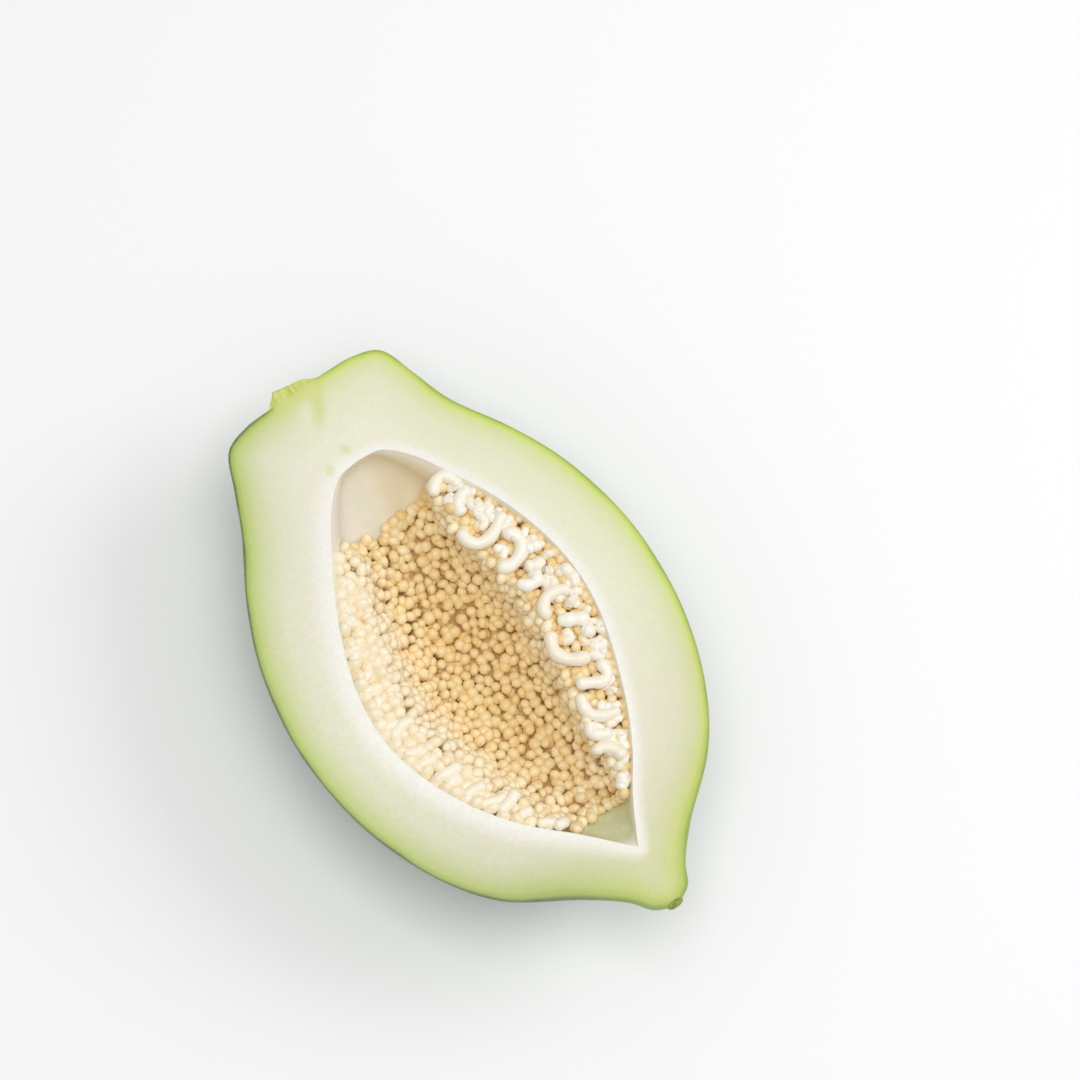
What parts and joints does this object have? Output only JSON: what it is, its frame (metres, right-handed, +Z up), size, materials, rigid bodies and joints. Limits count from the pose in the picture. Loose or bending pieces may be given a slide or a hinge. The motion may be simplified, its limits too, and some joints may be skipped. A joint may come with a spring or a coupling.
{
  "type": "half green papaya",
  "caption": "Unripe papaya cut lengthwise into a half: thick pale flesh under green skin, and a long hollow lined with young seeds.",
  "frame": {"origin": "on the resting surface, under the middle of the outline of the half", "axes": "+X from the stalk end to the blossom tip, +Y across the cut face, +Z up out of the cut face"},
  "size_m": [0.2314, 0.1442, 0.0694],
  "materials": {
    "fruit_wall": "moist pale flesh fading to green under a smooth dark green skin with a dull gloss",
    "young_seeds": "moist cream seeds, tan between them, with a soft gloss",
    "stalk": "fibrous yellow-green, dull"
  },
  "bodies": {
    "root": {"fruit_wall": "fruit_wall", "seed_bed": "young_seeds", "stalk_stump": "stalk"}
  },
  "joints": []
}
